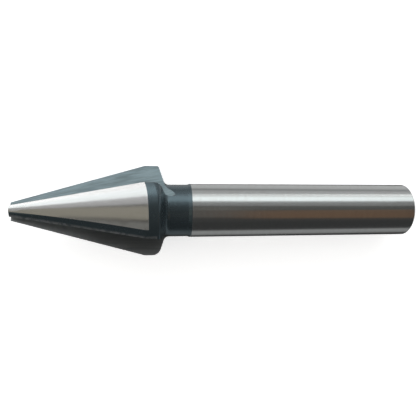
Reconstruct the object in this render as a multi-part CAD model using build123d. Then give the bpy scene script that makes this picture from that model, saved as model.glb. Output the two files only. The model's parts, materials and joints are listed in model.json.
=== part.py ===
"""Three-flute countersink bit with a straight shank, ground from one bar of tool steel.

The bit is built along its own axis: the shank end is at zero and the point is up the axis.
An angle about that axis is measured from the side that faces up when the bit lies at rest.
At the end the bit is laid on the table, where it rests on the two corners beside one flute
and on the rim of its shank.  Lengths are in millimetres and angles in degrees.
"""

import os
from math import acos, atan2, cos, degrees, hypot, radians, sin, tan

from build123d import *

# Shank and neck
SHANK_DIAMETER = 10.0
SHANK_LENGTH = 43.5
NECK_LENGTH = 5.77              # from the shank to the rear corner of the head
SHANK_CHAMFER = 0.45
NECK_STEP = 0.15                # how far the neck lies below the shank, on the radius
NECK_RAMP = 0.5                 # length of the taper from the shank down to the neck
NECK_FILLET = 1.0               # where the neck meets the back of the head

# Head
HEAD_DIAMETER = 16.6
BAND_LENGTH = 2.53              # cylindrical part behind the cone
BACK_ANGLE = 19.0               # slope of the back of the head, off square
CONE_LENGTH = 23.6
TIP_DIAMETER = 3.49
HEEL_CORNER_RADIUS = 0.4        # rear corner at the heel of a land
EDGE_CORNER_RADIUS = 1.7        # rear corner at the cutting edge of a land
CORNER_SHIFT = 0.6              # sideways shift of the turning axis of the larger radius

# Flutes and lands
FLUTES = 3
FIRST_EDGE = 36.4               # angle of the first cutting edge
LAND_ANGLE = 71.1               # from a cutting edge back to the heel of its land
HOOK_ANGLE = 3.7                # lean of the wall below the cutting edge, into the land
ROOT_DISTANCE = 3.48            # from the axis to the root of a flute, at the big end of the cone
ROOT_RADIUS = 0.3
RUNOUT_LENGTH = 0.97            # from the rear corner of the head back to where the root rises
RUNOUT_RADIUS = 4.0
RUNOUT_TURN = 80.0              # how far the V turns as it leaves the steel
RUNOUT_REACH = 0.8              # depth of the turning V, as a share of its radius

# Clearance flat behind each ground land
FLAT_ANGLE = 65.5               # from the cutting edge back to the middle of the flat
FLAT_DROP_REAR = 0.044          # depth of the flat below the cone at its big end
FLAT_DROP_TIP = 0.18            # and at the tip

MARGIN = 2.0                    # how far the cutting bodies reach past the steel
SLIP = 0.02                     # gap that keeps a corner cutter off the faces beside it
OVERRUN = 12.0                  # angle by which a corner cutter passes its land at either side
MOST_LEAN = 20.0                # limit of the search for the resting lean
HALVINGS = 50                   # steps of that search
MOST_ROUNDING = 0.9             # share of the back of the head that a rear corner may take up

shank_r = SHANK_DIAMETER / 2
neck_r = shank_r - NECK_STEP
head_r = HEAD_DIAMETER / 2
tip_r = TIP_DIAMETER / 2
head_start = SHANK_LENGTH + NECK_LENGTH
cone_start = head_start + BAND_LENGTH
length = cone_start + CONE_LENGTH
runout = head_start - RUNOUT_LENGTH
cone_slope = (head_r - tip_r) / CONE_LENGTH
apex = Vector(0, 0, cone_start + head_r / cone_slope)
back_slope = tan(radians(BACK_ANGLE))
turn_back = tan(radians((90 - BACK_ANGLE) / 2))
back_width = (head_r - neck_r - NECK_FILLET) / cos(radians(BACK_ANGLE))
edge_corner_r = min(EDGE_CORNER_RADIUS, MOST_ROUNDING * back_width / turn_back)
pitch = 360 / FLUTES


def polar(radius, angle, station):
    """Point at a radius and an angle about the axis, at a station along it."""
    return Vector(radius * cos(radians(angle)), radius * sin(radians(angle)), station)


def back_station(radius):
    """Station of the back of the head at a radius."""
    return head_start - (head_r - radius) * back_slope


def across(vector, direction):
    """Part of a vector that is square to a unit direction."""
    return vector - direction * vector.dot(direction)


def rounded(face, corner, radius):
    """Face with its vertex nearest to a corner rounded."""
    return fillet(face.vertices().sort_by_distance(corner)[0], radius)


def blank():
    """Turned body with no flutes."""
    neck_end = (neck_r, 0, back_station(neck_r))
    corner = (head_r, 0, head_start)
    outline = Polyline(
        (0, 0, 0),
        (shank_r - SHANK_CHAMFER, 0, 0),
        (shank_r, 0, SHANK_CHAMFER),
        (shank_r, 0, SHANK_LENGTH),
        (neck_r, 0, SHANK_LENGTH + NECK_RAMP),
        neck_end,
        corner,
        (head_r, 0, cone_start),
        (tip_r, 0, length),
        (0, 0, length),
        close=True,
    )
    section = rounded(make_face(outline), neck_end, NECK_FILLET)
    section = rounded(section, corner, HEEL_CORNER_RADIUS)
    return revolve(section, Axis.Z)


def root_point(edge_angle):
    """Sharp root of a flute at the big end of the cone.

    It lies under the cutting edge, moved into the land by the hook of the wall.
    """
    lean = (head_r - ROOT_DISTANCE) * tan(radians(HOOK_ANGLE))
    side = polar(1, edge_angle + 90, 0)
    return polar(ROOT_DISTANCE, edge_angle, cone_start) - side * lean


def flute(edge_angle):
    """Body that cuts the flute in front of one cutting edge.

    Both walls are planes through the point of the cone, so the cutting edge, the root and the heel
    run straight along it.  Behind the run-out station the same V turns about an axis above the neck,
    as the wheel leaves it, and makes the rounded end of the flute.
    """
    root = root_point(edge_angle)
    edge = polar(head_r, edge_angle, cone_start)
    heel = polar(head_r, edge_angle + pitch - LAND_ANGLE, cone_start)
    forward = (apex - root).normalized()
    to_edge = across(edge - root, forward)
    to_heel = across(heel - root, forward)
    opening = to_edge.get_angle(to_heel)
    start = root + forward * ((runout - cone_start) / forward.Z)
    plane = Plane(start, x_dir=to_edge, z_dir=forward)

    def wedge(reach):
        """V of the two walls, drawn in the plane across the flute, with its root rounded."""
        outline = Polyline((0, 0), (reach, 0), (reach, reach * tan(radians(opening))), close=True)
        return rounded(make_face(outline), (0, 0), ROOT_RADIUS)

    run = extrude(plane * wedge(head_r + MARGIN), length - runout + MARGIN, dir=forward)
    axis = Axis(plane.from_local_coords((RUNOUT_RADIUS, 0, 0)), -plane.y_dir)
    end = revolve(plane * wedge(RUNOUT_RADIUS * RUNOUT_REACH), axis, RUNOUT_TURN)
    return run, end


def clearance_flat(edge_angle):
    """Block whose underside is the clearance flat behind one ground land."""
    middle = edge_angle - FLAT_ANGLE
    rear = polar(head_r - FLAT_DROP_REAR, middle, cone_start)
    front = polar(tip_r - FLAT_DROP_TIP, middle, length)
    along = front - rear
    out = across(polar(1, middle, 0), along.normalized())
    plane = Plane((rear + front) / 2, x_dir=along, z_dir=out)
    size = along.length + 2 * MARGIN
    return plane * Box(size, head_r, head_r, align=(Align.CENTER, Align.CENTER, Align.MIN))


def edge_corner(edge_angle):
    """Ring piece that gives the rear corner of one land its larger radius.

    The ring turns about an axis shifted towards the heel, so the radius is full at the cutting edge
    and fades out along the land.
    """
    band = head_r + SLIP
    inner_r = neck_r + NECK_FILLET
    far = head_start - head_r
    corner = (band, 0, head_start)
    outline = Polyline(
        (band, 0, cone_start - SLIP),
        corner,
        (inner_r, 0, back_station(inner_r)),
        (inner_r, 0, far),
        (head_r + MARGIN, 0, far),
        (head_r + MARGIN, 0, cone_start - SLIP),
        close=True,
    )
    section = rounded(make_face(outline), corner, edge_corner_r)
    ring = revolve(section, Axis.Z, LAND_ANGLE + 2 * OVERRUN)
    turned = Rot(0, 0, edge_angle - LAND_ANGLE - OVERRUN) * ring
    return Pos(*polar(CORNER_SHIFT, edge_angle - 90, 0)) * turned


def bit():
    """The whole bit, standing on its shank along its own axis."""
    body = blank()
    for index in range(FLUTES):
        angle = FIRST_EDGE + index * pitch
        run, end = flute(angle)
        body = body - run - end - clearance_flat(angle) - edge_corner(angle)
    return body.solid()


def heel_corner(edge_angle, station):
    """Point where the heel of a land crosses the surface of the band."""
    root = root_point(edge_angle - pitch)
    heel = polar(head_r, edge_angle - LAND_ANGLE, cone_start)
    wall = (root - apex).cross(heel - apex)
    swing = degrees(acos(wall.Z * (apex.Z - station) / (head_r * hypot(wall.X, wall.Y))))
    facing = degrees(atan2(wall.Y, wall.X))
    near = min(
        (facing + swing, facing - swing),
        key=lambda angle: abs((angle - edge_angle + LAND_ANGLE + 180) % 360 - 180),
    )
    return polar(head_r, near, station)


def resting_down():
    """Direction that points straight down when the bit lies at rest.

    The bit rests on the cutting edge of its second land, on the heel of its third land and on the
    rim of its shank.  The direction is square to the line through the first two, and it is turned
    about that line until the rim is as low as they are.
    """
    edge = polar(head_r, FIRST_EDGE + pitch, head_start + edge_corner_r * turn_back)
    heel = heel_corner(FIRST_EDGE + 2 * pitch, head_start + HEEL_CORNER_RADIUS * turn_back)
    line = (heel - edge).normalized()
    level = across(Vector(edge.X + heel.X, edge.Y + heel.Y, 0), line).normalized()
    endwise = line.cross(level)
    low, high = -MOST_LEAN, MOST_LEAN
    for _ in range(HALVINGS):
        middle = (low + high) / 2
        down = level * cos(radians(middle)) + endwise * sin(radians(middle))
        gap = down.dot(edge) - shank_r * hypot(down.X, down.Y) - down.Z * SHANK_CHAMFER
        if gap * endwise.Z > 0:
            high = middle
        else:
            low = middle
    return down


def at_rest(solid):
    """The bit lying on the table, with its point towards -X and the middle of its box at zero."""
    up = resting_down() * -1
    tail = across(Vector(0, 0, -1), up)
    laid = Plane((0, 0, 0), x_dir=tail, z_dir=up).to_local_coords(solid)
    box = laid.bounding_box()
    return Pos(-box.center().X, -box.center().Y, -box.min.Z) * laid


if __name__ == "__main__":
    os.makedirs("parts", exist_ok=True)
    export_step(at_rest(bit()), "parts/countersink.step")
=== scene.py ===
"""Looks of the countersink bit: ground steel, black oxide, a pale table and soft studio light.

The bit is one solid from the frame.  Its finish changes over its surface: the shank and the three
lands are ground bright, and the flutes, the clearance flats, the neck and the back of the head keep
their black oxide.  The finish is worked out from each point's place along the axis and around it,
and from the way that the surface faces there.
"""

import json
import logging
import math
from dataclasses import dataclass, field
from enum import Enum
from typing import Any

import bpy
import numpy as np
from mathutils import Matrix, Vector

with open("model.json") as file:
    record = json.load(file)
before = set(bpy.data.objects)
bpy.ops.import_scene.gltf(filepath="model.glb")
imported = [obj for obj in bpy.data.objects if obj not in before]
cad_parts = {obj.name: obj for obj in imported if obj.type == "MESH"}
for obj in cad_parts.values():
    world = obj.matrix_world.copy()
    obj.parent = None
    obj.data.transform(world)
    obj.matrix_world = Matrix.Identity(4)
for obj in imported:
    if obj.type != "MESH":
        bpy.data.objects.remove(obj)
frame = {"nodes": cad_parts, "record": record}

log = logging.getLogger("countersink")
logging.basicConfig(level=logging.INFO, format="%(name)s: %(message)s")

MM = 0.001
PER_METRE = 1000.0              # millimetres in a metre
DEGREES = 180.0 / math.pi       # degrees in a radian
RADIANS = math.pi / 180.0       # radians in a degree
Colour = tuple[float, float, float]


class Slot(Enum):
    """Sockets of the surface shader that may change over the bit."""

    COLOUR = "Base Color"
    ROUGHNESS = "Roughness"
    METALLIC = "Metallic"
    NORMAL = "Normal"


@dataclass(frozen=True)
class Step:
    """A smooth step between two levels.

    Attributes:
        low: where the step begins.
        high: where the step ends.
        start: level below the step.
        end: level above the step.
    """

    low: float
    high: float
    start: float = 0.0
    end: float = 1.0


@dataclass(frozen=True)
class Grain:
    """A noise pattern.

    Attributes:
        scale: patterns per unit of the place where it is read.
        detail: octaves.
        rough: weight of the finer octaves.
        stretch: factors on the station, the angle and the radius, or none for the plain place.
    """

    scale: float
    detail: float = 2.0
    rough: float = 0.5
    stretch: tuple[float, float, float] | None = None


class Shader:
    """A node tree that is filled from expressions."""

    def __init__(self, tree: bpy.types.NodeTree) -> None:
        """Empties a tree so that it can be built.

        Args:
            tree: the node tree of a material or of the world.
        """
        self.tree = tree
        tree.nodes.clear()

    def node(self, kind: str, settings: dict[str, Any] | None = None,
             inputs: dict[Any, Any] | None = None) -> bpy.types.Node:
        """Adds one node.

        Args:
            kind: the node's type.
            settings: properties such as an operation, set before the sockets.
            inputs: a value, a Wire or a socket for each input, by name or number.

        Returns:
            The new node.
        """
        made = self.tree.nodes.new(kind)
        for name, value in (settings or {}).items():
            setattr(made, name, value)
        for name, value in (inputs or {}).items():
            socket = made.inputs[name]
            source = value.socket if isinstance(value, Wire) else value
            if isinstance(source, bpy.types.NodeSocket):
                self.tree.links.new(source, socket)
            else:
                socket.default_value = source
        return made

    def math(self, operation: str, *values: Any) -> "Wire":
        """One Math node.

        Args:
            operation: the node's operation.
            values: numbers or wires.

        Returns:
            The result.
        """
        made = self.node("ShaderNodeMath", {"operation": operation}, dict(enumerate(values)))
        return Wire(self, made.outputs[0])

    def vector(self, operation: str, *values: Any, output: int = 0) -> "Wire":
        """One Vector Math node.

        Args:
            operation: the node's operation.
            values: vectors or wires.
            output: 0 for a vector, 1 for a number.

        Returns:
            The result.
        """
        made = self.node("ShaderNodeVectorMath", {"operation": operation}, dict(enumerate(values)))
        return Wire(self, made.outputs[output])

    def combine(self, x: Any, y: Any, z: Any) -> "Wire":
        """A vector from three numbers."""
        return Wire(self, self.node("ShaderNodeCombineXYZ", None, {0: x, 1: y, 2: z}).outputs[0])

    def ramp(self, value: Any, step: Step, base: float = 0.0) -> "Wire":
        """Smooth step from one level to another.

        Args:
            value: the number that drives the step.
            step: its limits and levels.
            base: where the limits are measured from.

        Returns:
            The first level below the step, the last level above it, and an S curve between them.
        """
        made = self.node("ShaderNodeMapRange", {"interpolation_type": "SMOOTHSTEP"},
                         {0: value, 1: base + step.low, 2: base + step.high,
                          3: step.start, 4: step.end})
        return Wire(self, made.outputs[0])

    def noise(self, place: Any, grain: Grain) -> "Wire":
        """Noise between 0 and 1.

        Args:
            place: where the pattern is read.
            grain: its scale and detail.

        Returns:
            The noise value.
        """
        made = self.node("ShaderNodeTexNoise", {"noise_dimensions": "3D"},
                         {"Vector": place, "Scale": grain.scale, "Detail": grain.detail,
                          "Roughness": grain.rough})
        return Wire(self, made.outputs[0])

    def blend(self, factor: Any, under: Any, over: Any) -> "Wire":
        """One colour over another.

        Args:
            factor: share of the upper colour.
            under: lower colour, a tuple of three or a wire.
            over: upper colour.

        Returns:
            The blended colour.
        """
        sides = [value if isinstance(value, Wire) else (*value, 1.0) for value in (under, over)]
        made = self.node("ShaderNodeMix", {"data_type": "RGBA", "blend_type": "MIX"},
                         {0: factor, 6: sides[0], 7: sides[1]})
        return Wire(self, made.outputs[2])


class Wire:
    """A socket that takes part in arithmetic.  Each operation adds one Math node."""

    def __init__(self, shader: Shader, socket: bpy.types.NodeSocket) -> None:
        """Wraps one output socket."""
        self.shader = shader
        self.socket = socket

    def __add__(self, other: Any) -> "Wire":
        """Sum."""
        return self.shader.math("ADD", self, other)

    def __radd__(self, other: Any) -> "Wire":
        """Sum with a number on the left."""
        return self.shader.math("ADD", other, self)

    def __sub__(self, other: Any) -> "Wire":
        """Difference."""
        return self.shader.math("SUBTRACT", self, other)

    def __rsub__(self, other: Any) -> "Wire":
        """Difference from a number."""
        return self.shader.math("SUBTRACT", other, self)

    def __mul__(self, other: Any) -> "Wire":
        """Product."""
        return self.shader.math("MULTIPLY", self, other)

    def __rmul__(self, other: Any) -> "Wire":
        """Product with a number on the left."""
        return self.shader.math("MULTIPLY", other, self)

    def __truediv__(self, other: Any) -> "Wire":
        """Quotient."""
        return self.shader.math("DIVIDE", self, other)

    def __rtruediv__(self, other: Any) -> "Wire":
        """Quotient of a number by this value."""
        return self.shader.math("DIVIDE", other, self)

    def __pow__(self, other: Any) -> "Wire":
        """Power."""
        return self.shader.math("POWER", self, other)

    def __rpow__(self, other: Any) -> "Wire":
        """Power of a number."""
        return self.shader.math("POWER", other, self)

    def __abs__(self) -> "Wire":
        """Size without sign."""
        return self.shader.math("ABSOLUTE", self)


@dataclass(frozen=True)
class Finish:
    """One finish of the steel.

    Attributes:
        colour: reflectance of the metal.
        tint: second colour that the first drifts towards in patches.
        tint_share: strength of the drift.
        roughness: middle roughness.
        spread: how far the roughness moves either way.
    """

    colour: Colour
    tint: Colour
    tint_share: float
    roughness: float
    spread: float


GROUND_SHANK = Finish((0.583, 0.605, 0.600), (0.55, 0.55, 0.54), 0.5, 0.20, 0.03)
GROUND_LAND = Finish((0.60, 0.60, 0.60), (0.56, 0.56, 0.54), 0.5, 0.20, 0.03)
BLACK_OXIDE = Finish((0.112, 0.150, 0.168), (0.098, 0.132, 0.148), 0.8, 0.28, 0.05)
MILLED_OXIDE = Finish((0.228, 0.288, 0.308), (0.155, 0.198, 0.213), 1.0, 0.36, 0.08)
RAKE_OXIDE = Finish((0.252, 0.262, 0.268), (0.185, 0.193, 0.198), 1.0, 0.36, 0.08)
# Lighter worn oxide; along the heels and cutting edges it also serves as painted highlight
WEAR_AND_EDGE_HIGHLIGHT = Finish((0.44, 0.46, 0.47), (0.32, 0.34, 0.35), 0.8, 0.30, 0.05)
OXIDE_METALLIC = 0.85

# Patterns
RINGS = Grain(90.0, 3.0, 0.6, (0.02, 0.0004, 0.0002))    # turning marks, round the shank
LINES = Grain(60.0, 3.0, 0.6, (0.0004, 0.008, 0.02))     # grinding and milling marks, lengthwise
PATCHES = Grain(420.0, 4.0, 0.6)                         # uneven oxide
BREAKS = Grain(1500.0, 3.0)                              # gaps in the lines of painted highlight and wear along the edges
WANDER = Grain(900.0)                                    # uneven front end of the ground shank
DRIFT = (0.35, 0.70)            # part of a pattern over which a colour drifts to its tint
GRIND_STRENGTH = 0.12
GRIND_HEIGHT = 0.00002          # of the turning marks, in metres

# Edges of the ground lands, in millimetres where nothing else is said
LAND_SIDE = Step(-0.15, 0.25, 1.0, 0.0)         # past the start of the clearance flat, in degrees
LAND_OVERLAP = 0.72                             # how far a land reaches behind the cone
LAND_REAR = Step(-0.03, 0.04)                   # from that end forward
LAND_BEND = 0.75                                # how far the end bends forward at the cutting edge
LAND_BEND_ANGLE = 15.0                          # angle in which the bend falls to a third
LAND_OUTWARD = Step(0.72, 0.82)                 # part of the surface's direction away from the axis
LAND_BODY = Step(0.0, 0.5)                      # from the rear corner of the head forward
RELIEF_REAR = Step(-0.03, 0.02, 1.0, 0.0)       # from the big end of the cone forward

# Edges of the milled walls
WALL_TURN = Step(0.22, 0.34)                    # part of the surface's direction round the axis
WALL_DEEP = Step(-0.08, -0.03, 1.0, 0.0)        # from the neck's radius outwards
WALL_BEHIND = Step(-0.5, 0.0, 1.0, 0.0)         # from the rear corner of the head forward
WALL_AHEAD = Step(0.5, 0.7)                     # from the start of the neck forward
RAKE_SIDE = Step(-0.10, 0.10, 1.0, 0.0)         # which way round the axis a wall faces
RAKE_WEAR = Step(57.0, 70.0, 0.0, 0.60)         # wear of the rake walls, by station

# Edges of the lines of painted highlight and wear along the heels and cutting edges
HEEL_LINE = Step(0.08, 0.60, 1.0, 0.0)          # away from the heel
HEEL_OUTWARD = Step(0.50, 0.80)                 # part of the surface's direction away from the axis
CUTTING_LINE = Step(0.06, 0.22, 0.2, 0.0)       # away from the cutting edge
CUTTING_DEPTH = Step(0.25, 0.45, 1.0, 0.0)      # below the turned outline
EDGE_LINE_BREAKS = Step(0.30, 0.55, 0.25, 1.0)       # part of the pattern that keeps the line
EDGE_LINE_BODY = Step(0.3, 0.6)                      # from the rear corner of the head forward

# Front end of the ground shank
SHANK_END = Step(0.00, 0.10, 1.0, 0.0)
SHANK_WANDER = 0.10

LAND_PITCH = 120.0              # angle from one land to the next
WHOLE_TURNS = 720.0             # keeps an angle above zero before it is folded to one land


@dataclass
class Bit:
    """The whole bit: where its axis lies, and the sizes that bound its finishes.

    Stations are measured from the shank end towards the tip, and angles about the axis from the
    side that faces up at rest, all in millimetres and degrees.

    Attributes:
        node: name of the CAD node.
        roll: turn of the angles' zero about the axis from straight up.
        chamfer: length of the chamfer of the shank, which the mount leaves out.
        shank_length: station where the bright grinding ends.
        neck_start: station where the taper from the shank down to the neck ends.
        neck_radius: radius of the neck.
        head_start: station of the rear corner of the head.
        cone_start: station of the big end of the cone.
        length: station of the tip.
        head_radius: radius of the cylindrical band.
        tip_radius: radius of the flat tip.
        first_edge: angle of the first cutting edge.
        land_angle: from a cutting edge back to the heel of its land.
        flat_angle: from a cutting edge back to the middle of the clearance flat.
        flat_drop_rear: depth of the clearance flat below the cone at its big end.
        flat_drop_tip: and at the tip.
        origin: middle of the shank end, in metres.
        towards_tip: direction of the axis.
        top: direction of angle zero.
        side: direction of a quarter turn.
    """

    node: str = "countersink"
    roll: float = 0.455
    chamfer: float = 0.45
    shank_length: float = 43.34
    neck_start: float = 44.0
    neck_radius: float = 4.85
    head_start: float = 49.27
    cone_start: float = 51.8
    length: float = 75.4
    head_radius: float = 8.3
    tip_radius: float = 1.745
    first_edge: float = 36.4
    land_angle: float = 71.1
    flat_angle: float = 65.5
    flat_drop_rear: float = 0.044
    flat_drop_tip: float = 0.18
    origin: Vector = field(init=False)
    towards_tip: Vector = field(init=False)
    top: Vector = field(init=False)
    side: Vector = field(init=False)

    def __post_init__(self) -> None:
        """Finds the axis from the frame's shank mount."""
        mount = frame["record"]["mounts"][0]
        tail = Vector(mount["axis"]).normalized()
        middle = Vector(mount["pos_m"])
        half = mount["dims"]["length_mm"] / 2 + self.chamfer
        self.origin = middle + tail * half * MM
        self.towards_tip = -tail
        level = Vector((0.0, 1.0, 0.0))
        upright = tail.cross(level).normalized()
        if upright.z < 0:
            upright = -upright
        turn = math.radians(self.roll)
        self.top = upright * math.cos(turn) + level * math.sin(turn)
        self.side = level * math.cos(turn) - upright * math.sin(turn)

    @property
    def cone_slope(self) -> float:
        """Loss of radius for each millimetre along the cone."""
        return (self.head_radius - self.tip_radius) / (self.length - self.cone_start)

    @property
    def drop_growth(self) -> float:
        """Growth of the clearance flat's depth for each millimetre along the cone."""
        return (self.flat_drop_tip - self.flat_drop_rear) / (self.length - self.cone_start)

    def dress(self) -> bpy.types.Object:
        """Gives the bit its finish.

        Returns:
            The dressed object.
        """
        piece = frame["nodes"][self.node]
        material = bpy.data.materials.new("bit_steel")
        material.use_nodes = True
        shader = Shader(material.node_tree)
        place = Wire(shader, shader.node("ShaderNodeTexCoord").outputs["Object"])
        normal = Wire(shader, shader.node("ShaderNodeNewGeometry").outputs["Normal"])
        sockets = Surface(self, shader, place, normal).finish()
        base = shader.node("ShaderNodeBsdfPrincipled", None,
                           {slot.value: value for slot, value in sockets.items()})
        shader.node("ShaderNodeOutputMaterial", None, {0: base.outputs[0]})
        piece.data.materials.clear()
        piece.data.materials.append(material)
        return piece


class Surface:
    """Works out the finish at a point of the bit."""

    def __init__(self, bit: Bit, shader: Shader, place: Wire, normal: Wire) -> None:
        """Reads the point in the bit's own terms.

        The station is the part of the place along the axis, the angle is the arc tangent of the
        two parts across it, and the radius is their length.  Facing is the part of the surface's
        direction away from the axis, and turning the part round it.

        Args:
            bit: sizes and axis.
            shader: tree to build in.
            place: the point, in the row frame.
            normal: the surface's direction there.
        """
        self.bit = bit
        self.shader = shader
        self.place = place
        self.normal = normal
        offset = shader.vector("SUBTRACT", place, tuple(bit.origin))
        up, side = self.along(offset, bit.top), self.along(offset, bit.side)
        self.station = self.along(offset, bit.towards_tip) * PER_METRE
        self.angle = shader.math("ARCTAN2", side, up) * DEGREES
        up, side = up * PER_METRE, side * PER_METRE
        self.radius = (up * up + side * side) ** 0.5
        normal_up, normal_side = self.along(normal, bit.top), self.along(normal, bit.side)
        self.facing = (up * normal_up + side * normal_side) / self.radius
        self.turning = (side * normal_up - up * normal_side) / self.radius
        lag = bit.first_edge + WHOLE_TURNS - self.angle
        self.behind_edge = shader.math("MODULO", lag, LAND_PITCH)
        self.ahead = self.station - bit.cone_start
        self.cone_radius = bit.head_radius - self.ahead * bit.cone_slope

    def along(self, vector: Wire, direction: Vector) -> Wire:
        """Part of a vector along a direction."""
        return self.shader.vector("DOT_PRODUCT", vector, tuple(direction), output=1)

    def pattern(self, grain: Grain) -> Wire:
        """Noise at the point.

        A stretched pattern is read at the station, the angle and the radius, each times its own
        factor.

        Args:
            grain: the pattern.

        Returns:
            The noise value.
        """
        if grain.stretch is None:
            return self.shader.noise(self.place, grain)
        lengthwise, around, outward = grain.stretch
        place = self.shader.combine(self.station * lengthwise, self.angle * around,
                                    self.radius * outward)
        return self.shader.noise(place, grain)

    def land_mask(self) -> Wire:
        """Share of bright ground land at the point.

        The land is bright from the cutting edge back to the line where the clearance flat cuts the
        cone: the angle at which the cone's radius, times the cosine of the angle from the middle of
        the flat, equals the flat's distance from the axis.  Its rear end lies on the band, and
        bends forward to the cone near the cutting edge.

        Returns:
            1 on the ground land and 0 elsewhere.
        """
        bit, shader = self.bit, self.shader
        ratio = 1.0 - (bit.flat_drop_rear + self.ahead * bit.drop_growth) / self.cone_radius
        swing = shader.math("ARCCOSINE", ratio) * DEGREES
        inside = shader.ramp(self.behind_edge - (bit.flat_angle - swing), LAND_SIDE)
        bend = math.e ** (self.behind_edge / -LAND_BEND_ANGLE)
        rear = self.station - bend * LAND_BEND
        before = shader.ramp(rear, LAND_REAR, bit.cone_start - LAND_OVERLAP)
        outward = shader.ramp(self.facing, LAND_OUTWARD)
        body = shader.ramp(self.station, LAND_BODY, bit.head_start)
        return inside * before * outward * body

    def flute_mask(self) -> Wire:
        """Share of milled flute wall at the point.

        A turned surface never faces round the axis, and a milled one does.  The middle of a
        flute's rounded end doesn't either, but it lies deeper than the neck.

        Returns:
            1 on the walls and 0 elsewhere.
        """
        bit, shader = self.bit, self.shader
        aside = shader.ramp(abs(self.turning), WALL_TURN)
        deep = shader.ramp(self.radius, WALL_DEEP, bit.neck_radius)
        behind = shader.ramp(self.station, WALL_BEHIND, bit.head_start)
        ahead = shader.ramp(self.station, WALL_AHEAD, bit.neck_start)
        return shader.math("MAXIMUM", aside, deep * behind) * ahead

    def edge_highlight_and_wear_mask(self) -> Wire:
        """Share of painted highlight, partly worn oxide, along each heel and each cutting edge.

        The distance from an edge is the angle from it, as an arc of the local radius.

        Returns:
            Up to 1 on the lines of painted highlight and wear, and 0 elsewhere.
        """
        bit, shader = self.bit, self.shader
        arc = self.radius * RADIANS
        heel = abs(self.behind_edge - bit.land_angle) * arc
        # lighter lines along the heels and cutting edges: painted highlight, partly worn oxide
        heel_line = shader.ramp(heel, HEEL_LINE) * shader.ramp(self.facing, HEEL_OUTWARD)
        cutting = shader.math("MINIMUM", self.behind_edge, LAND_PITCH - self.behind_edge) * arc
        cutting_line = shader.ramp(cutting, CUTTING_LINE) * shader.ramp(self.depth(), CUTTING_DEPTH)
        broken = shader.ramp(self.pattern(BREAKS), EDGE_LINE_BREAKS)
        body = shader.ramp(self.station, EDGE_LINE_BODY, bit.head_start)
        return shader.math("MAXIMUM", heel_line, cutting_line) * broken * body

    def shank_mask(self) -> Wire:
        """Share of ground shank at the point, with its slightly uneven front end."""
        place = self.station + self.pattern(WANDER) * SHANK_WANDER
        return self.shader.ramp(place, SHANK_END, self.bit.shank_length)

    def depth(self) -> Wire:
        """Depth below the turned outline of the head, in millimetres."""
        outline = self.shader.math("MINIMUM", self.cone_radius, self.bit.head_radius)
        return outline - self.radius

    def relief(self, land: Wire) -> Wire:
        """Surface direction with the ground cone carried on over the front of the band.

        The direction there is the turned one plus the slope of the cone times the way to the tip.

        Args:
            land: share of ground land.

        Returns:
            The direction, of length one.
        """
        bit, shader = self.bit, self.shader
        share = land * shader.ramp(self.station, RELIEF_REAR, bit.cone_start)
        lean = tuple(bit.towards_tip * bit.cone_slope)
        tilt = shader.vector("MULTIPLY", lean, shader.combine(share, share, share))
        return shader.vector("NORMALIZE", shader.vector("ADD", self.normal, tilt))

    def wall_tone(self, lines: Wire, patches: Wire) -> Wire:
        """Colour of the milled walls.

        The wall below a heel is bluish.  The wall below a cutting edge is neutral, and it is worn
        lighter towards the tip.

        Args:
            lines: lengthwise pattern.
            patches: uneven pattern.

        Returns:
            The colour.
        """
        shader = self.shader
        worn = shader.ramp(self.station, RAKE_WEAR)
        rake = shader.blend(worn, self.tone(RAKE_OXIDE, lines), self.tone(WEAR_AND_EDGE_HIGHLIGHT, patches))
        side = shader.ramp(self.turning, RAKE_SIDE)
        return shader.blend(side, self.tone(MILLED_OXIDE, lines), rake)

    def finish(self) -> dict[Slot, Wire]:
        """Puts the finishes together, each one over those before it.

        Returns:
            The wire for each socket of the surface shader.
        """
        shader = self.shader
        land, shank = self.land_mask(), self.shank_mask()
        rings, lines, patches = (self.pattern(grain) for grain in (RINGS, LINES, PATCHES))
        colour, rough = self.tone(BLACK_OXIDE, patches), self.sheen(BLACK_OXIDE, patches)
        for mask, upper, upper_rough in (
            (self.flute_mask(), self.wall_tone(lines, patches), self.sheen(MILLED_OXIDE, lines)),
            # lines along the heels and cutting edges: painted highlight, partly worn oxide
            (self.edge_highlight_and_wear_mask(), self.tone(WEAR_AND_EDGE_HIGHLIGHT, patches), self.sheen(WEAR_AND_EDGE_HIGHLIGHT, patches)),
            (land, self.tone(GROUND_LAND, lines), self.sheen(GROUND_LAND, lines)),
            (shank, self.tone(GROUND_SHANK, rings), self.sheen(GROUND_SHANK, rings)),
        ):
            colour = shader.blend(mask, colour, upper)
            rough = rough + (upper_rough - rough) * mask
        bump = shader.node("ShaderNodeBump", None,
                           {"Strength": GRIND_STRENGTH, "Distance": GRIND_HEIGHT,
                            "Height": rings, "Normal": self.relief(land)})
        bright = shader.math("MAXIMUM", land, shank)
        return {
            Slot.COLOUR: colour,
            Slot.ROUGHNESS: rough,
            Slot.METALLIC: shader.math("MAXIMUM", bright, OXIDE_METALLIC),
            Slot.NORMAL: Wire(shader, bump.outputs[0]),
        }

    def tone(self, finish: Finish, pattern: Wire) -> Wire:
        """Colour of one finish, drifting towards its tint with a pattern."""
        share = self.shader.ramp(pattern, Step(*DRIFT, 0.0, finish.tint_share))
        return self.shader.blend(share, finish.colour, finish.tint)

    def sheen(self, finish: Finish, pattern: Wire) -> Wire:
        """Roughness of one finish, moved either way by a pattern around its middle of 0.5."""
        return (pattern - 0.5) * (2.0 * finish.spread) + finish.roughness


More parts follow.
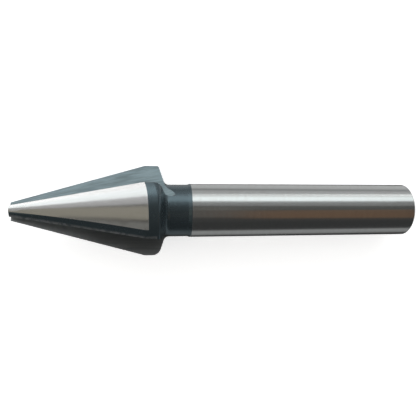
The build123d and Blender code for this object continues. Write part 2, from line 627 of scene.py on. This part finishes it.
@dataclass(frozen=True)
class Softbox:
    """A rectangular lamp, given by the part of the sky that it fills for the bit.

    Attributes:
        name: lamp name.
        lean: first and last angle from straight up, towards +Y, in degrees.
        swing: first and last angle towards +X, in degrees.
        level: brightness, where 1 is white.
        colour: colour of the light.
        in_gloss: whether polished steel mirrors the lamp.
        distance: from the bit to the lamp, in metres.
    """

    name: str
    lean: tuple[float, float]
    swing: tuple[float, float]
    level: float
    colour: Colour = (1.0, 1.0, 1.0)
    in_gloss: bool = True
    distance: float = 0.6

    def build(self) -> bpy.types.Object:
        """Adds the lamp.

        Its middle lies in the middle of both angles.  Its width and height are the chords that fill
        them, and its power is its brightness times pi times its area.

        Returns:
            The lamp object.
        """
        lean = math.radians(sum(self.lean) / 2)
        swing = math.radians(sum(self.swing) / 2)
        away = Vector((math.sin(swing), math.cos(swing) * math.sin(lean),
                       math.cos(swing) * math.cos(lean)))
        upward = Vector((0.0, math.cos(lean), -math.sin(lean)))
        across = upward.cross(away)
        half_lean = math.radians(self.lean[1] - self.lean[0]) / 2
        half_swing = math.radians(self.swing[1] - self.swing[0]) / 2
        data = bpy.data.lights.new(self.name, "AREA")
        data.shape = "RECTANGLE"
        data.size = 2 * self.distance * math.tan(half_swing)
        data.size_y = 2 * self.distance * math.tan(half_lean) * math.cos(swing)
        data.energy = self.level * math.pi * data.size * data.size_y
        data.color = self.colour
        lamp = bpy.data.objects.new(self.name, data)
        bpy.context.scene.collection.objects.link(lamp)
        turn = Matrix((across, upward, away)).transposed()
        lamp.matrix_world = Matrix.Translation(away * self.distance) @ turn.to_4x4()
        lamp.visible_camera = False
        lamp.visible_glossy = self.in_gloss
        return lamp


@dataclass(frozen=True)
class GlossCard:
    """A grey card beside the bit, which only the gloss of the steel shows.

    Polished steel on a white table mirrors white at both edges.  A card beside it makes them
    darker.

    Attributes:
        name: card name.
        reach: first and last X, in metres.
        profile: rows of Y, Z and brightness across the card, in metres, where 1 is white.
        turn: turn of the whole card about the upright axis, in degrees.
    """

    name: str
    reach: tuple[float, float]
    profile: tuple[tuple[float, float, float], ...]
    turn: float = 0.0

    def build(self) -> bpy.types.Object:
        """Adds the card: each row of the profile, carried straight along X.

        Returns:
            The card object.
        """
        rows = np.array(self.profile)
        points = np.zeros((len(rows), 2, 3))
        points[:, :, 0] = np.array(self.reach)
        points[:, :, 1:] = rows[:, None, :2]
        points = points @ np.array(Matrix.Rotation(math.radians(self.turn), 3, "Z")).T
        start = 2 * np.arange(len(rows) - 1)
        faces = np.stack((start, start + 1, start + 3, start + 2), -1)
        mesh = bpy.data.meshes.new(self.name)
        mesh.from_pydata(points.reshape(-1, 3).tolist(), [], faces.tolist())
        level = mesh.attributes.new("level", "FLOAT", "POINT")
        level.data.foreach_set("value", np.repeat(rows[:, 2], 2).astype(np.float32))
        mesh.materials.append(self.paint())
        card = bpy.data.objects.new(self.name, mesh)
        bpy.context.scene.collection.objects.link(card)
        card.visible_camera = False
        card.visible_diffuse = False
        card.visible_shadow = False
        return card

    def paint(self) -> bpy.types.Material:
        """Even glow of the brightness that each row gives.

        Returns:
            The material.
        """
        material = bpy.data.materials.new(self.name)
        material.use_nodes = True
        material.cycles.emission_sampling = "NONE"
        shader = Shader(material.node_tree)
        shade = shader.node("ShaderNodeAttribute", {"attribute_name": "level"}).outputs["Fac"]
        glow = shader.node("ShaderNodeEmission", None, {1: shade})
        shader.node("ShaderNodeOutputMaterial", None, {0: glow.outputs[0]})
        return material


@dataclass
class Studio:
    """Table with its wall, room and lamps.

    Attributes:
        flat_radius: radius of the flat part of the table, in metres.
        rim_reach: how far the curved rim reaches past it.
        wall_height: height of the rim's top.
        table_turns: points round the table.
        flat_rings: rings of the flat part.
        rim_rings: rings of the rim.
        table_colour: colour of the table.
        table_glow: brightness that the table shows, by the distance from its middle.
        room_level: brightness of the room.
        overhead_level: brightness of the ceiling.
        overhead_spread: width of the ceiling's light, in degrees.
        lamps: the lamps.
        cards: the cards.
    """

    flat_radius: float = 1.6
    rim_reach: float = 0.4
    wall_height: float = 0.6
    table_turns: int = 96
    flat_rings: int = 8
    rim_rings: int = 12
    table_colour: Colour = (0.90, 0.90, 0.90)
    table_glow: Step = Step(0.15, 1.2, 0.56, 0.70)
    room_level: float = 0.06
    overhead_level: float = 0.22
    overhead_spread: float = 150.0
    lamps: tuple[Softbox, ...] = (
        Softbox("key_low", (39.0, 62.0), (-55.0, 42.0), 1.45, (0.96, 1.01, 1.015)),
        Softbox("key_high_left", (62.0, 74.0), (-55.0, -8.0), 1.40),
        Softbox("key_top_left", (74.0, 82.0), (-55.0, -8.0), 0.80),
        Softbox("key_high_right", (62.0, 73.0), (-8.0, 42.0), 0.95),
        Softbox("key_top_right", (73.0, 80.0), (-8.0, 42.0), 0.20),
        Softbox("key_edge_left", (17.5, 39.0), (-55.0, 0.0), 0.50),
        Softbox("key_edge_right", (19.0, 39.0), (0.0, 42.0), 0.25),
        Softbox("left_fill", (-24.0, 13.0), (-50.0, -18.0), 0.31, (1.0, 0.93, 0.75)),
        Softbox("left_low", (-50.0, -29.0), (-50.0, -18.0), 0.19, (1.0, 0.99, 0.91)),
        Softbox("warm_fill", (-37.0, -5.0), (16.0, 42.0), 0.12, (1.0, 0.45, 0.13)),
        Softbox("middle_fill", (-5.0, 19.0), (8.0, 42.0), 0.05, (1.0, 0.97, 0.88)),
        Softbox("near_fill", (-30.0, 15.0), (4.0, 16.0), 0.07, (1.0, 0.85, 0.72)),
        Softbox("left_end", (-45.0, 40.0), (-86.0, -56.0), 2.4, in_gloss=False),
        Softbox("right_end", (-45.0, 40.0), (54.0, 86.0), 2.4, in_gloss=False),
    )
    cards: tuple[GlossCard, ...] = (
        GlossCard("back_card", (-0.5, 0.5), (
            (0.400, 0.1200, 0.52),
            (0.400, 0.0002, 0.52),
            (0.120, 0.0002, 0.51),
            (0.080, 0.0002, 0.40),
            (0.056, 0.0002, 0.29),
            (0.034, 0.0002, 0.29),
            (0.027, 0.0002, 0.60),
            (0.0090, 0.0002, 0.60),
            (0.0086, 0.0002, 0.08),
            (0.0046, 0.0002, 0.08),
        )),
        GlossCard("front_card", (-0.5, 0.5), (
            (-0.0046, 0.0002, 0.02),
            (-0.0080, 0.0002, 0.03),
            (-0.011, 0.0002, 0.05),
            (-0.015, 0.0002, 0.26),
            (-0.019, 0.0002, 0.33),
            (-0.044, 0.0002, 0.38),
            (-0.070, 0.0002, 0.20),
            (-0.120, 0.0002, 0.06),
            (-0.150, 0.0002, 0.05),
            (-0.150, 0.1300, 0.05),
        )),
        GlossCard("end_card", (-0.3, 0.3), (
            (0.500, 0.0002, 0.05),
            (0.500, 0.2000, 0.05),
        ), turn=-90.0),
    )

    def build(self) -> None:
        """Builds the table, the cards, the room and the lamps."""
        log.info("table %s", self.table().name)
        for card in self.cards:
            log.info("card %s", card.build().name)
        self.room()
        log.info("lamp %s", self.overhead().name)
        for lamp in self.lamps:
            log.info("lamp %s", lamp.build().name)

    def table(self) -> bpy.types.Object:
        """Adds the table under the bit.

        Returns:
            The table object.
        """
        mesh = self.disc()
        mesh.materials.append(self.paint())
        table = bpy.data.objects.new("table", mesh)
        bpy.context.scene.collection.objects.link(table)
        return table

    def disc(self) -> bpy.types.Mesh:
        """A flat disc whose rim curves up into a wall.

        A profile of reach and height is turned about the upright axis: flat out to the rim, then a
        quarter of an ellipse up to the wall's top.

        Returns:
            The mesh.
        """
        turns = np.linspace(0.0, 2.0 * np.pi, self.table_turns, endpoint=False)
        flat = np.linspace(0.0, self.flat_radius, self.flat_rings + 1)[1:]
        curl = np.linspace(0.0, np.pi / 2, self.rim_rings + 1)[1:]
        reach = np.concatenate((flat, self.flat_radius + self.rim_reach * np.sin(curl)))
        height = np.concatenate((flat * 0.0, self.wall_height * (1.0 - np.cos(curl))))
        ring, turn = np.meshgrid(reach, turns, indexing="ij")
        rise = np.broadcast_to(height[:, None], ring.shape)
        skin = np.stack((ring * np.cos(turn), ring * np.sin(turn), rise), -1).reshape(-1, 3)
        points = np.vstack((np.zeros((1, 3)), skin))
        rows, columns = ring.shape
        first = np.arange(columns)
        after = (first + 1) % columns
        centre = np.stack((first * 0, 1 + first, 1 + after), -1)
        base = 1 + np.arange(rows - 1)[:, None] * columns
        quads = np.stack((base + first, base + columns + first, base + columns + after,
                          base + after), -1).reshape(-1, 4)
        mesh = bpy.data.meshes.new("table")
        mesh.from_pydata(points.tolist(), [], centre.tolist() + quads.tolist())
        mesh.shade_smooth()
        return mesh

    def paint(self) -> bpy.types.Material:
        """Pale matt paint that shows white to the camera, to gloss and through glass.

        Returns:
            The material.
        """
        material = bpy.data.materials.new("table")
        material.use_nodes = True
        shader = Shader(material.node_tree)
        path = shader.node("ShaderNodeLightPath").outputs
        seen = Wire(shader, path["Is Camera Ray"]) + Wire(shader, path["Is Glossy Ray"])
        seen = seen + Wire(shader, path["Is Transmission Ray"])
        place = Wire(shader, shader.node("ShaderNodeTexCoord").outputs["Object"])
        level = shader.ramp(shader.vector("LENGTH", place, output=1), self.table_glow)
        matt = shader.node("ShaderNodeBsdfDiffuse", None, {0: (*self.table_colour, 1.0)})
        glow = shader.node("ShaderNodeEmission", None, {1: seen * level})
        both = shader.node("ShaderNodeAddShader", None, {0: matt.outputs[0], 1: glow.outputs[0]})
        shader.node("ShaderNodeOutputMaterial", None, {0: both.outputs[0]})
        return material

    def room(self) -> None:
        """Dim even room."""
        world = bpy.data.worlds.new("room")
        world.use_nodes = True
        bpy.context.scene.world = world
        shader = Shader(world.node_tree)
        glow = shader.node("ShaderNodeBackground", None,
                           {0: (1.0, 1.0, 1.0, 1.0), 1: self.room_level})
        shader.node("ShaderNodeOutputWorld", None, {0: glow.outputs[0]})

    def overhead(self) -> bpy.types.Object:
        """Even light from the whole ceiling, which polished steel doesn't mirror.

        Returns:
            The lamp object.
        """
        data = bpy.data.lights.new("overhead", "SUN")
        data.energy = self.overhead_level * math.pi
        data.angle = math.radians(self.overhead_spread)
        lamp = bpy.data.objects.new("overhead", data)
        lamp.visible_glossy = False
        bpy.context.scene.collection.objects.link(lamp)
        return lamp


@dataclass
class Viewpoint:
    """The camera, placed from the bit's own axis.

    Attributes:
        focal: focal length, as a share of the picture's width.
        shank_end: place of the shank end before the camera, right, down and forward, in mm.
        yaw: how far the tip comes nearer, in degrees.
        pitch: how far the tip drops in the picture, in degrees.
        sensor: width of the camera's sensor, in millimetres.
        clip_start: nearest distance that the camera shows, in metres.
    """

    focal: float = 435.0 / 420.0
    shank_end: tuple[float, float, float] = (39.10, -0.10, 88.58)
    yaw: float = 8.39
    pitch: float = 0.238
    sensor: float = 36.0
    clip_start: float = 0.001

    def build(self, bit: Bit) -> bpy.types.Object:
        """Adds the camera.

        The axis, the side and the top of the bit are written in the camera's terms; the turn that
        takes them to the same three directions in the row frame is the camera's own turn.

        Args:
            bit: the bit that the camera looks at.

        Returns:
            The camera object.
        """
        yaw, pitch = math.radians(self.yaw), math.radians(self.pitch)
        tip = Vector((-math.cos(yaw) * math.cos(pitch), math.sin(pitch),
                      -math.sin(yaw) * math.cos(pitch)))
        side = Vector((0.0, -1.0, 0.0))
        side = (side - tip * side.dot(tip)).normalized()
        top = tip.cross(side)
        if top.z > 0:
            top = -top
        seen = Matrix((top, side, tip)).transposed()
        real = Matrix((bit.top, bit.side, bit.towards_tip)).transposed()
        turn = real @ seen.transposed()
        place = bit.origin - turn @ Vector(self.shank_end) * MM
        turn = turn @ Matrix.Diagonal((1.0, -1.0, -1.0))
        data = bpy.data.cameras.new("camera")
        data.sensor_width = self.sensor
        data.lens = self.sensor * self.focal
        data.clip_start = self.clip_start
        camera = bpy.data.objects.new("camera", data)
        camera.matrix_world = Matrix.Translation(place) @ turn.to_4x4()
        bpy.context.scene.collection.objects.link(camera)
        bpy.context.scene.camera = camera
        return camera


def main() -> None:
    """Builds the looks in order."""
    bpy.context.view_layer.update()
    bit = Bit()
    log.info("dressed %s", bit.dress().name)
    Studio().build()
    log.info("camera at %s", tuple(round(v, 4) for v in Viewpoint().build(bit).location))
    bpy.context.scene.view_settings.view_transform = "Standard"


if __name__ == "__main__":
    main()
